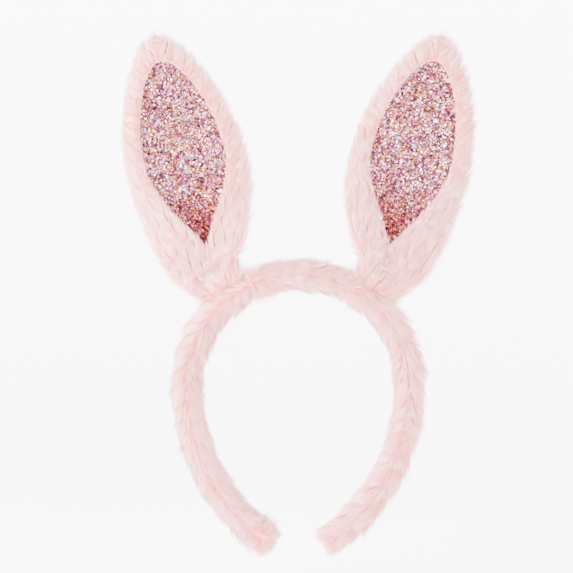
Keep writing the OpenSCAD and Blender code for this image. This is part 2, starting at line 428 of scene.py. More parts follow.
# %% Roots and strands
def rooted_strands(g, given):
    cone = add(g, "GeometryNodeMeshCone", {
        "Vertices": 3, "Side Segments": 2, "Radius Top": 0.0, "Radius Bottom": 1.0,
        "Depth": 1.0}, fill_type="NONE").outputs["Mesh"]
    strand = keep(g, cone, "local", add(g, "GeometryNodeInputPosition").outputs[0])
    scatter = add(g, "GeometryNodeDistributePointsOnFaces", {
        "Mesh": given["Geometry"],
        "Density": calc(g, "MULTIPLY", given["Density"], named(g, "thick", "FLOAT")),
        "Seed": given["Seed"]})
    here = add(g, "GeometryNodeInputPosition").outputs[0]
    roots = keep(g, scatter.outputs["Points"], "root", here)
    roots = keep(g, roots, "nrm", scatter.outputs["Normal"])
    chance = add(g, "FunctionNodeRandomValue", {"Seed": given["Seed"]}, data_type="FLOAT_VECTOR")
    roots = keep(g, roots, "rnd", chance.outputs["Value"])
    set_out = add(g, "GeometryNodeInstanceOnPoints", {"Points": roots, "Instance": strand})
    return add(g, "GeometryNodeRealizeInstances", {0: set_out.outputs[0]}).outputs[0]


# %% [markdown]
# ## The strand's line
# Pile leaves the cloth steeply and then lies over. Two products of the place along the strand,
# t, give that bend: one rises quickly and levels off, the other runs out slowly and gains.

# %% The bend of a strand
def bent_line(g, root, normal, comb, lift, length, t):
    rise = calc(g, "MULTIPLY", calc(g, "MULTIPLY", lift, length),
                calc(g, "MULTIPLY", t, calc(g, "MULTIPLY_ADD", t, -0.45, 1.45)))
    flat = calc(g, "SQRT", calc(g, "SUBTRACT", 1.0, calc(g, "MULTIPLY", lift, lift)))
    run_out = calc(g, "MULTIPLY", calc(g, "MULTIPLY", flat, length),
                   calc(g, "MULTIPLY", t, calc(g, "MULTIPLY_ADD", t, 0.5, 0.5)))
    line = vec(g, "ADD", root, vec(g, "SCALE", normal, scale=rise))
    return vec(g, "ADD", line, vec(g, "SCALE", comb, scale=run_out))


# %% [markdown]
# ## Locks
# Fibres cling together in locks. The skin is divided in cells, strands lean toward the middle
# of their cell, and each cell sways its own way. A little wildness of each strand's own keeps a
# lock from closing to a spike.

# %% Strands drawn into locks
def into_locks(g, given, line, root, normal, length, t, cell):
    toward = vec(g, "SUBTRACT", cell["Position"], root)
    outward = vec(g, "DOT_PRODUCT", toward, normal)
    toward = vec(g, "SUBTRACT", toward, vec(g, "SCALE", normal, scale=outward))
    t2 = calc(g, "POWER", t, 1.3)
    pull = calc(g, "MULTIPLY", t2, given["Lock Pull"])
    line = vec(g, "ADD", line, vec(g, "SCALE", toward, scale=pull))
    sway = vec(g, "SUBTRACT", cell["Color"], (0.5, 0.5, 0.5))
    sway_by = calc(g, "MULTIPLY", calc(g, "MULTIPLY", length, t2), given["Lock Sway"])
    line = vec(g, "ADD", line, vec(g, "SCALE", sway, scale=sway_by))
    wild = vec(g, "SUBTRACT", named(g, "rnd"), (0.5, 0.5, 0.5))
    wild_by = calc(g, "MULTIPLY", calc(g, "MULTIPLY", length, calc(g, "MULTIPLY", t, t)),
                   given["Frizz"])
    return vec(g, "ADD", line, vec(g, "SCALE", wild, scale=wild_by))


# %% [markdown]
# ## Thickness and colour place
# Round its line a strand is a thin three-sided stick. Its tone is partly its lock's and partly
# its own, as in real pile, where a whole lock catches the light and single fibres stand out.

# %% Girth and colour place of a strand
def girth(g, given, normal, comb, lift, shape, t):
    ahead = vec(g, "NORMALIZE", vec(g, "ADD", comb, vec(g, "SCALE", normal, scale=lift)))
    side = vec(g, "NORMALIZE", vec(g, "CROSS_PRODUCT", normal, ahead))
    over = vec(g, "CROSS_PRODUCT", ahead, side)
    radius = calc(g, "MULTIPLY", given["Strand Radius"], calc(g, "MULTIPLY_ADD", t, 0.7, 1.0))
    wide = vec(g, "ADD", vec(g, "SCALE", side, scale=shape["X"]),
               vec(g, "SCALE", over, scale=shape["Y"]))
    return vec(g, "SCALE", wide, scale=radius)


def colour_place(g, cell, luck, shape, t):
    """Tone across, and the place from root to tip along, kept just inside the map's edges."""
    lock_tone = add(g, "ShaderNodeSeparateXYZ", {0: cell["Color"]}).outputs["Z"]
    tone = calc(g, "ADD", calc(g, "MULTIPLY", lock_tone, 0.45),
                calc(g, "MULTIPLY", luck["Y"], 0.52))
    across = calc(g, "ADD", calc(g, "MULTIPLY_ADD", tone, 0.96, 0.02),
                  calc(g, "MULTIPLY", shape["X"], 0.006))
    along = calc(g, "MULTIPLY_ADD", t, 0.94, 0.03)
    return add(g, "ShaderNodeCombineXYZ", {0: across, 1: along}).outputs[0]


# %% [markdown]
# ## The whole pile tree
# The steps are put together here, with the sizes of the pile as named inputs.

# %% The pile's node tree
def pile_tree():
    g, given, out = tree("grow pile", [
        ("Density", "Float", 4e6), ("Strand Radius", "Float", 0.00013),
        ("Lock Size", "Float", 0.0045), ("Lock Pull", "Float", 0.4), ("Lock Sway", "Float", 0.22),
        ("Frizz", "Float", 0.2), ("Seed", "Int", 1), ("Material", "Material", None)])
    strands = rooted_strands(g, given)
    root, normal, comb = named(g, "root"), named(g, "nrm"), named(g, "comb")
    shape = add(g, "ShaderNodeSeparateXYZ", {0: named(g, "local")}).outputs
    luck = add(g, "ShaderNodeSeparateXYZ", {0: named(g, "rnd")}).outputs
    t, lift = shape["Z"], named(g, "lift", "FLOAT")
    length = calc(g, "MULTIPLY", named(g, "pile", "FLOAT"),
                  calc(g, "MULTIPLY_ADD", luck["X"], 0.45, 0.72))
    cell = add(g, "ShaderNodeTexVoronoi", {
        "Vector": root, "Scale": calc(g, "DIVIDE", 1.0, given["Lock Size"])},
        feature="F1").outputs
    line = bent_line(g, root, normal, comb, lift, length, t)
    line = into_locks(g, given, line, root, normal, length, t, cell)
    line = vec(g, "ADD", line, girth(g, given, normal, comb, lift, shape, t))
    strands = add(g, "GeometryNodeSetPosition", {"Geometry": strands, "Position": line}).outputs[0]
    place = colour_place(g, cell, luck, shape, t)
    strands = keep(g, strands, "OFBake", place, "FLOAT2", "CORNER")
    strands = add(g, "GeometryNodeSetShadeSmooth", {0: strands}).outputs[0]
    done = add(g, "GeometryNodeSetMaterial", {"Geometry": strands, "Material": given["Material"]})
    g.links.new(done.outputs[0], out["Geometry"])
    return g


PILE_TREE = pile_tree()
print("pile tree:", len(PILE_TREE.nodes), "nodes")


def grow(skin, name, seed, density, **finish):
    """Grows pile on a skin. Density is strands for each square millimetre."""
    values = {"Density": density * 1e6, "Seed": seed, "Material": PILE, **finish}
    pile = run(skin, PILE_TREE, name, values)
    print("%s: %d strands, %d triangles" % (name, len(pile.data.vertices) / 7,
                                            sum(len(p.vertices) - 2 for p in pile.data.polygons)))
    return pile


# %% [markdown]
# ## The fur tube
# Three lengths of tube meet at the creases beside the ears. The skin is a rounded tube, drawn
# in at the creases. On each leg the pile is combed down and away from a furrow along the
# front; over the crown it lies along the band.

# %% Skins of the tube
def band_at(d):
    """Middle of the band at distance d from the top, with its outward and onward directions."""
    side, d = (1 if d >= 0 else -1), abs(d)
    if d <= CROWN_ARC:
        a = d / CROWN_R
        x, z = CROWN_R * math.sin(a), CROWN_Z + CROWN_R * math.cos(a)
    else:
        b = (d - CROWN_ARC) / LEG_R
        a = math.pi / 2 + b
        x, z = CROWN_R - LEG_R + LEG_R * math.cos(b), CROWN_Z - LEG_R * math.sin(b)
    return (np.array([side * x, 0, z]), np.array([side * math.sin(a), 0, math.cos(a)]),
            np.array([side * math.cos(a), 0, -math.sin(a)]))


# %% [markdown]
# ## The tube's skin
# The real tube is a strip of fur cloth sewn shut round the spring, a little lumpy where the
# filling shifts. It is drawn as rounds along the band that swell and shrink slightly, and draw
# in at the creases beside the ears and at the tips.

# %% The tube's skin
SKIN_OUT, SKIN_DEEP = 5.6 * MM, 7.2 * MM   # half sizes of the tube's skin
ROUND = 40                                 # points round the tube


def tube_radius(d):
    """Share of the full skin size at distance d: drawn in at the creases and at the tips."""
    crease = 1 - 0.30 * math.exp(-((abs(d) - FLEX) / (3.0 * MM)) ** 2)
    to_tip = (BAND_HALF - abs(d)) / (4.0 * MM)
    return crease * (math.sqrt(max(0.02, 1 - (1 - to_tip) ** 2)) if to_tip < 1 else 1)


def tube_skin(name, start, end, bumps):
    """A length of skin, with the onward and outward directions and turn of each point."""
    steps = max(6, int(abs(end - start) / (2.2 * MM)))
    turn = np.linspace(0, 2 * math.pi, ROUND, endpoint=False)
    rings, on, out = [], [], []
    for d in np.linspace(start, end, steps + 1):
        middle, outward, onward = band_at(d)
        r = tube_radius(d) * (1 + 0.05 * math.sin(d * 190 + bumps)
                              + 0.03 * math.sin(d * 430 + 2 * bumps))
        rings.append(middle + np.outer(np.cos(turn), outward) * SKIN_OUT * r
                     + np.outer(np.sin(turn), (0, 1, 0)) * SKIN_DEEP * r)
        on += [onward] * ROUND
        out += [outward] * ROUND
    piece = from_rings(name, rings, material=SKIN)
    return (piece, np.array(on + [on[0], on[-1]]), np.array(out + [out[0], out[-1]]),
            np.append(np.tile(turn, steps + 1), [0, 0]))


# %% [markdown]
# ## Combing the tube
# The pile of a real tube is brushed along the band and falls away from a wandering furrow down
# the front. Each point gets a direction, a length and a thickness from its turn round the tube.
# Pile stands up at the closed ends, where nothing presses it down.

# %% Combing the tube's pile
def parting(piece, turn):
    """How near each point is to the furrow down the front, which wanders and comes and goes."""
    co = points_of(piece)
    wander = 1.5 * math.pi + 0.35 * np.sin(co[:, 2] * 62 + 1) + 0.2 * np.sin(co[:, 2] * 150)
    strength = 0.55 + 0.45 * np.sin(co[:, 2] * 260 + 2 * np.sin(co[:, 2] * 90))
    return np.exp(-((turn - wander) / 0.3) ** 2) * strength


def comb_tube(piece, on, out, turn, length, away, slant=0.0):
    """Combs a tube's pile onward and, on each side of a parting down the front, away from it."""
    normal = normals_of(piece)
    parted = np.where(np.cos(turn) > 0, 1, -1) * np.clip(1 - np.abs(np.sin(turn) + 0.45), 0, 1)
    comb = on + out * (away * parted + slant)[:, None]
    comb -= normal * np.sum(comb * normal, axis=1, keepdims=True)
    store(piece, "comb", unit(comb))
    seam = np.exp(-((np.abs(turn - math.pi)) / 0.16) ** 2)
    store(piece, "pile", length * (1 - 0.35 * seam) * (1 - 0.45 * parting(piece, turn)))
    ends_on = ease((np.sum(normal * on, axis=1) - 0.3) / 0.5)
    store(piece, "lift", 0.50 + 0.45 * ends_on)
    store(piece, "thick", (1 - 0.6 * parting(piece, turn)) * (1 + 0.8 * ends_on))


# %% [markdown]
# ## Pile of the tube
# Each leg grows in two lengths, so that neither mesh is too heavy. The left end is drawn up to a
# rosette that shows at the front, and the right end is cut level like a brush. Under an ear's
# foot the pile is thinned, because the foot presses on it.

# %% Pile of the tube
PILE_LENGTH = 10.5 * MM
FOOT_ON_BAND = CROWN_R * EAR_ANGLE      # where the ear's foot stands along the band


def leg_fur(word):
    """One leg of the tube, in two lengths of pile so that neither is too heavy."""
    side = SIDES[word]
    start, end = FLEX - 1.5 * MM, BAND_HALF - 4 * MM
    bumps = 1.3 if side > 0 else 4.1
    skin, on, out, turn = tube_skin(word + "_leg_skin", side * start, side * end, bumps)
    along = np.repeat(np.linspace(start, end, len(turn) // ROUND), ROUND)
    along = np.append(along, [start, end])
    # the pile is trimmed level with the end
    length = np.clip((BAND_HALF + 1.5 * MM - along) / 0.85, 3.5 * MM, PILE_LENGTH)
    if word == "left":  # drawn up to a rosette that shows at the front
        eye = band_at(side * (BAND_HALF - 9 * MM))[0] + (0, -SKIN_DEEP, 0)
        away = points_of(skin) - eye
        near = np.exp(-(np.linalg.norm(away, axis=1, keepdims=True) / (9 * MM)) ** 2)
        comb_tube(skin, on * (1 - near) + unit(away) * near * 2, out, turn, length, 0.75)
    else:
        comb_tube(skin, on, out, turn, length, 0.35, -0.3)
    under_foot = np.exp(-((along - FOOT_ON_BAND) / (13 * MM)) ** 4) * (np.cos(turn) > 0.35)
    thick = attribute(skin, "thick")
    piles, middle = [], (FLEX + BAND_HALF) / 2
    for part, here in (("upper", along < middle), ("lower", along >= middle)):
        share = here * (1 - 0.75 * under_foot) * thick
        skin.data.attributes["thick"].data.foreach_set("value", share.astype(np.float32))
        piles.append(grow(skin, "%s_leg_pile_%s" % (word, part), 11 + side, 4.6))
    return skin, piles


def crown_fur():
    skin, on, out, turn = tube_skin("crown_skin", -(FLEX - 1.0 * MM), FLEX - 1.0 * MM, 0.4)
    comb_tube(skin, on * np.where(on[:, :1] < 0, -1, 1), out, turn, PILE_LENGTH, 0.3, -0.12)
    return skin, [grow(skin, "crown_pile", 5, 4.2)]


tube_fur = {word + "_leg": leg_fur(word) for word in SIDES}
tube_fur["crown"] = crown_fur()

# %% [markdown]
# ## Stitches
# The tube is sewn shut by hand along the side that faces the head, and its ends are drawn up
# with a ring of stitches. Each stitch is one short bar of thread with its ends sunk in the cloth.

# %% Stitches
def thread_material():
    m, nodes, links, shader = blank_material("sewing thread", 0.6)
    place = nodes.new("ShaderNodeTexCoord")
    twist = nodes.new("ShaderNodeTexNoise")
    twist.inputs["Scale"].default_value = 2200
    ramp = nodes.new("ShaderNodeValToRGB")
    set_ramp(ramp, [(0.3, rgb(232, 178, 182)), (0.7, rgb(246, 205, 207))])
    links.new(place.outputs["Object"], twist.inputs["Vector"])
    links.new(twist.outputs["Fac"], ramp.inputs["Fac"])
    links.new(ramp.outputs["Color"], shader.inputs["Base Color"])
    return m


THREAD = thread_material()


# a stitch from end to end: place along it, height and thickness, in thread radii
ARCH = ((0, -0.6, 0.6), (0.2, 0.3, 1), (0.5, 0.6, 1), (0.8, 0.3, 1), (1, -0.6, 0.6))


def stitches(name, bars, radius=0.35 * MM):
    """Bars of thread, each arched over the cloth from one point to another."""
    verts, faces = [], []
    for a, b, up in bars:
        go, first = unit(b - a), len(verts)
        across = unit(np.cross(go, up))
        for t, rise, r in ARCH:
            c = a + (b - a) * t + up * radius * rise
            verts += [c + (across * math.cos(q) + up * math.sin(q)) * radius * r
                      for q in np.linspace(0, 2 * math.pi, 6, endpoint=False)]
        for i in range(4):
            faces += [(first + 6 * i + j, first + 6 * i + (j + 1) % 6,
                       first + 6 * i + 6 + (j + 1) % 6, first + 6 * i + 6 + j) for j in range(6)]
        faces += [tuple(range(first + 5, first - 1, -1)), tuple(range(first + 24, first + 30))]
    piece = new_piece(name, verts, faces, THREAD)
    if signed_volume(piece.data) < 0:
        piece.data.flip_normals()
    return piece


# %% [markdown]
# ## Where the stitches go
# A worker closes the tube with short slanting stitches at an even step, and draws up each end
# with ten stitches round it. So each row is a loop over an even step or an even turn.

# %% Rows of stitches
def seam_bars(start, end):
    bars = []
    for d in np.arange(start, end, 3.6 * MM):
        here, out, on = band_at(d)
        deep = here - out * (SKIN_OUT * tube_radius(d) + 0.1 * MM)
        bars.append((deep + (0, -1.5 * MM, 0) - on * 0.7 * MM,
                     deep + (0, 1.5 * MM, 0) + on * 0.7 * MM, -out))
    return bars


def tip_bars(side):
    d = side * (BAND_HALF - 6 * MM)
    here, out, on = band_at(d)
    bars = []
    for q in np.linspace(0, 2 * math.pi, 10, endpoint=False):
        way = out * math.cos(q) + np.array([0, 1, 0]) * math.sin(q)
        rim = (here + out * SKIN_OUT * math.cos(q) * 0.98
               + np.array([0, 1, 0]) * SKIN_DEEP * math.sin(q) * 0.98)
        bars.append((rim - on * 1.3 * MM, rim + on * 1.3 * MM, way))
    return bars


crown_row = seam_bars(-FLEX + 4 * MM, FLEX - 3 * MM)
thread = {"crown_seam": stitches("crown_closing_stitches", crown_row)}
for word, side in SIDES.items():
    run_of = sorted((side * (FLEX + 4 * MM), side * (BAND_HALF - 9 * MM)))
    thread[word + "_leg_seam"] = stitches(word + "_leg_closing_stitches", seam_bars(*run_of))
    thread[word + "_tip_stitches"] = stitches(word + "_drawn_up_stitches", tip_bars(side))
print("stitches in the crown's seam:", len(crown_row))

# %% [markdown]
# ## The ears' shape
# An ear is a long leaf, folded like a gutter at the foot and nearly flat above. Every layer
# is worked out on one middle surface, in ear coordinates: u across, v up from the pivot.

# %% Ear surface
def ear_w(s):
    low = FOOT_HALF + (EAR_HALF - FOOT_HALF) * np.sin(np.pi / 2 * np.clip(s / 0.43, 0, 1)) ** 0.6
    high = EAR_HALF * np.maximum(np.sin(np.pi / 2 * np.clip((1 - s) / 0.57, 0, 1)), 1e-6) ** 0.65
    return np.where(s < 0.43, low, high)


HOLE_0 = (PANEL_LOW - FOOT_REACH) / EAR_HEIGHT
HOLE_1 = (PANEL_HIGH - FOOT_REACH) / EAR_HEIGHT


def hole_w(s):
    q = np.clip((s - HOLE_0) / (HOLE_1 - HOLE_0), 0, 1)
    wave = np.maximum(np.sin(np.pi * q), 0)
    return np.maximum(0.35 * MM, PANEL_HALF * np.where(q < 0.5, wave ** 1.42, wave ** 0.55))


# %% [markdown]
# ## From the leaf's outline to the room
# A flat leaf would look like card. The real ear is folded along its middle at the foot, and the
# fold opens out toward the tip. One function gives that surface, and every layer of the ear uses
# it, so the layers lie on one another without a gap.

# %% The ear's folded surface
def ear_point(side, s, u, y):
    """A point of the ear in the row's frame, y behind the middle surface."""
    s, u, y = np.broadcast_arrays(np.asarray(s, float), np.asarray(u, float), np.asarray(y, float))
    depth = 9 * MM + (3 - 9) * MM * ease(s / 0.62)
    middle = depth * (0.45 - np.minimum(1, np.abs(u) / np.maximum(ear_w(s), MM)) ** 1.3)
    v = FOOT_REACH + s * EAR_HEIGHT - FOOT_SLOPE * (1 - ease(s / 0.35)) * u
    x = PIVOT.x + u * math.cos(EAR_LEAN) + v * math.sin(EAR_LEAN)
    z = PIVOT.z - u * math.sin(EAR_LEAN) + v * math.cos(EAR_LEAN)
    return np.stack([side * x, middle + y, z], axis=-1)


def ear_axis(side):
    """Up the ear and across it, outward, in the row's frame."""
    up = np.array([side * math.sin(EAR_LEAN), 0, math.cos(EAR_LEAN)])
    across = np.array([side * math.cos(EAR_LEAN), 0, -math.sin(EAR_LEAN)])
    return up, across


def ear_local(side, co):
    """u and v of points given in the row's frame."""
    up, across = ear_axis(side)
    d = co - np.array([side * PIVOT.x, 0, PIVOT.z])
    return d @ across, d @ up


def full(s):
    return 0.55 + 0.45 * ease(s / 0.3)


def spaced(n):
    return (1 - np.cos(np.linspace(0, np.pi, n))) / 2


# %% [markdown]
# ## Fur of the ears
# The border is one rounded roll of fur round the glitter and the back is a padded shell. The
# pile is combed up the ear and a little outward, so it stands off the rim and reaches over
# the lower edge of the glitter, where the real pile hides the cut.

# %% Ear skins
RIM_TOP, RIM_IN = 0.962, 1.5 * MM   # the skin stops short of the rim, and the pile fills it out


def border_skin(side, name):
    rise, foot = spaced(56), 9
    stations = [(t, 1) for t in rise] + [(t, -1) for t in rise[::-1]]
    stations += [(0, 2 * i / foot - 1) for i in range(1, foot)]
    front = np.array([0, 0.03, 0.1, 0.22, 0.36, 0.5, 0.64, 0.78, 0.9, 0.97, 1])
    back = np.array([1, 0.94, 0.9, 0.5, 0])
    rings = []
    for t, k in stations:
        s_out = t * RIM_TOP
        u_out = k * max(0.0004, float(ear_w(min(t, 0.9995))) - RIM_IN)
        s_in = 0.02 + (HOLE_1 - 0.02) * t
        u_in = float(hole_w(np.array(s_in))) * k
        bulge = -0.5 * MM - 1.9 * MM * full(s_out) * np.maximum(np.sin(np.pi * front), 0) ** 0.6
        s1, u1 = s_in + (s_out - s_in) * front, u_in + (u_out - u_in) * front
        s2, u2 = s_in + (s_out - s_in) * back, u_in + (u_out - u_in) * back
        rings.append(np.concatenate([
            ear_point(side, s1, u1, bulge),
            ear_point(side, s2, u2, np.where(back > 0.92, 1.3 * MM, -0.1 * MM))]))
    piece = from_rings(name, rings, closed=True, material=SKIN)
    return piece


# %% [markdown]
# ## The ear's back
# The back is a soft shell, lightly filled. It is drawn as rows from foot to tip, each a low dome
# on a flat inner face, thinner toward the rim where it is sewn to the border.

# %% Skin of the ear's back
def back_skin(side, name):
    rings, k = [], np.linspace(-1, 1, 19)
    for s in np.minimum(spaced(44), 0.9995):
        w = max(0.0004, float(ear_w(s)) - RIM_IN)
        dome = np.minimum(1, 1.2 * np.sqrt(np.maximum(0, 1 - k * k)))
        dome = 3.1 * MM + 2.6 * MM * full(s) * dome * min(1, 1.5 * math.sqrt(max(0, 1 - s ** 6)))
        inside = np.where(np.abs(k) > 0.93, 1.5 * MM, 2.8 * MM)
        rings.append(np.concatenate([ear_point(side, s * RIM_TOP, k * w, inside),
                                     ear_point(side, s * RIM_TOP, k * w, dome)[::-1]]))
    return from_rings(name, rings, material=SKIN)


# %% [markdown]
# ## Combing an ear
# Real ears are brushed upward and outward. Round the glitter the pile is trimmed short, and it
# leans away from the edge so that the cloth shows cleanly.

# %% Combing an ear's pile
def comb_ear(piece, side, length, lift, outward, front):
    """Combs an ear's pile upward and outward; only the named face carries pile."""
    co, normal = points_of(piece), normals_of(piece)
    up, across = ear_axis(side)
    u, v = ear_local(side, co)
    width = ear_w(np.clip((v - FOOT_REACH) / EAR_HEIGHT, 0, 0.97))
    hole = hole_w(np.clip((v - FOOT_REACH) / EAR_HEIGHT, 0, 1))
    near = np.exp(-(np.maximum(np.abs(u) - hole, 0) / (5 * MM)) ** 2) if front else 0 * u
    sideways = outward * u / width + np.sign(u) * near * ease(v / (50 * MM)) * 0.6
    comb = up + across * sideways[:, None]
    comb = comb - normal * np.sum(comb * normal, axis=1, keepdims=True)
    store(piece, "comb", unit(comb))
    store(piece, "pile", length * (1 - 0.55 * near * ease((v - PANEL_LOW + 8 * MM) / (20 * MM))))
    store(piece, "lift", np.full(len(u), lift))
    facing = -normal[:, 1] if front else normal[:, 1]
    store(piece, "thick", ease((facing + 0.45) / 0.4))


# %% [markdown]
# ## The ear's foot
# The foot is gathered round a wrapped roll on the band. A straight tube would look stuck on, so
# the skin starts inside the band's pile, widens over the roll and tucks into the ear at its top.

# %% Skin of the ear's foot
def foot_axes(side):
    """Along the band and straight out of it, where the ear stands."""
    a = EAR_ANGLE
    return (np.array([side * math.cos(a), 0, -math.sin(a)]),
            np.array([side * math.sin(a), 0, math.cos(a)]))


def foot_skin(side, name):
    """The gathered foot, from inside the tube's pile up round the roll and into the ear."""
    along, out = foot_axes(side)
    pivot = np.array([side * PIVOT.x, 0, PIVOT.z])
    turn = np.linspace(0, 2 * math.pi, 36, endpoint=False)
    rings = []
    for r in np.linspace(-8, 9, 9) * MM:
        q = ease((r + 6 * MM) / (12 * MM))
        wide, deep = (14.5 + 2.5 * q) * MM, (5.0 - 1.6 * q) * MM
        deep *= 1 - 0.7 * ease((r - 3 * MM) / (6 * MM))     # the top tucks into the ear
        x = wide * np.cos(turn)
        bow = 9 * MM * (0.45 - np.minimum(1, np.abs(x) / (18 * MM)) ** 1.3) * q
        rings.append(pivot + np.outer(x, along) + np.outer(bow + deep * np.sin(turn), (0, 1, 0))
                     + np.outer(r + 0 * x, out))
    piece = from_rings(name, rings, material=SKIN)
    normal = normals_of(piece)
    way = out + 0.35 * np.outer(((points_of(piece) - pivot) @ along) / (14 * MM), along)
    comb = way - normal * np.sum(way * normal, axis=1, keepdims=True)
    store(piece, "comb", unit(comb))
    store(piece, "pile", np.full(len(normal), 9.0 * MM))
    store(piece, "lift", np.full(len(normal), 0.45))
    store(piece, "thick", (np.abs(normal @ out) < 0.8).astype(float))
    return piece


# %% [markdown]
# ## Growing an ear's pile
# The border faces the eye and grows thickest. The back needs less, because nothing is seen
# through it.

# %% Pile of the ears
def ear_fur(word):
    side = SIDES[word]
    border = border_skin(side, word + "_ear_border_skin")
    comb_ear(border, side, 9.5 * MM, 0.42, 0.5, True)
    border_pile = grow(border, word + "_ear_border_pile", 21 + side, 4.6)
    back = back_skin(side, word + "_ear_back_skin")
    comb_ear(back, side, 9.5 * MM, 0.42, 0.35, False)
    back_pile = grow(back, word + "_ear_back_pile", 31 + side, 2.0)
    foot = foot_skin(side, word + "_ear_foot_skin")
    foot_pile = grow(foot, word + "_ear_foot_pile", 41 + side, 3.6)
    return border, border_pile, back, back_pile, foot, foot_pile


ears = {word: ear_fur(word) for word in SIDES}


# %% [markdown]
# ## Glitter
# The panel is a cloth printed dusty rose and covered with cut flakes of film: mostly rose,
# mauve and silver pink, some gold and copper, and a few larger pale blue and lavender ones.
# The flakes are real hexagons, each lying at its own slight angle, so light finds a different
# few from every side. Down in the fold of the ear their colour is painted darker toward wine
# red, as painted shade in the fold.

# %% Glitter cloth
FLAKES = [  # share of the flakes, colour
    (0.13, (92, 30, 52)), (0.13, (64, 18, 32)), (0.12, (72, 26, 50)),
    (0.10, (110, 54, 80)), (0.07, (40, 8, 10)), (0.05, (26, 24, 20)), (0.08, (186, 126, 146)),
    (0.07, (140, 92, 124)), (0.07, (128, 80, 8)), (0.05, (176, 108, 54)),
    (0.04, (160, 126, 14)), (0.04, (255, 228, 238)), (0.03, (70, 22, 10)),
    (0.02, (124, 146, 196))]


def ground_material():
    m, nodes, links, shader = blank_material("glitter cloth ground", 0.7)
    place = nodes.new("ShaderNodeTexCoord")
    grain = nodes.new("ShaderNodeTexNoise")
    grain.inputs["Scale"].default_value = 900
    ramp = nodes.new("ShaderNodeValToRGB")
    set_ramp(ramp, [(0.35, rgb(52, 18, 20)), (0.65, rgb(84, 36, 40))])
    links.new(place.outputs["Object"], grain.inputs["Vector"])
    links.new(grain.outputs["Fac"], ramp.inputs["Fac"])
    links.new(ramp.outputs["Color"], shader.inputs["Base Color"])
    return m


# %% [markdown]
# ## The flakes' material
# Cut film mirrors a little and takes its colour from a print. A smooth noise would blend the
# colours, so each flake picks one colour from a stepped ramp by its own number. A second ramp
# paints shade on the flakes that lie in the fold, darkening them.

# %% Material of the flakes
def flake_material():
    m, nodes, links, shader = blank_material("glitter flakes", 0.28, Metallic=0.4,
                                             Specular_IOR_Level=0.05)
    uv = nodes.new("ShaderNodeUVMap")
    uv.uv_map = "OFBake"
    split = nodes.new("ShaderNodeSeparateXYZ")
    pick = nodes.new("ShaderNodeValToRGB")
    stops, so_far = [], 0.0
    for share, colour in FLAKES:
        stops.append((so_far, rgb(*colour)))
        so_far += share
    set_ramp(pick, stops, steps=True)
    # painted shade: darkens the flakes in the fold toward wine red
    depth = nodes.new("ShaderNodeValToRGB")
    set_ramp(depth, [(0.0, rgb(255, 255, 255)), (0.5, rgb(216, 160, 156)), (1.0, rgb(120, 44, 42))])
    mix = nodes.new("ShaderNodeMix")
    mix.data_type, mix.blend_type = "RGBA", "MULTIPLY"
    mix.inputs["Factor"].default_value = 1.0
    links.new(uv.outputs["UV"], split.inputs["Vector"])
    links.new(split.outputs["X"], pick.inputs["Fac"])
    links.new(split.outputs["Y"], depth.inputs["Fac"])
    links.new(pick.outputs["Color"], mix.inputs["A"])
    links.new(depth.outputs["Color"], mix.inputs["B"])
    links.new(mix.outputs["Result"], shader.inputs["Base Color"])
    return m


# %% [markdown]
# ## Scattering the flakes
# Flakes fall on glue at random and lie nearly flat. A bump map would glint the same from every
# side. The tree sets a real hexagon at each random place, turned and tilted a little, with a few
# larger ones among them.

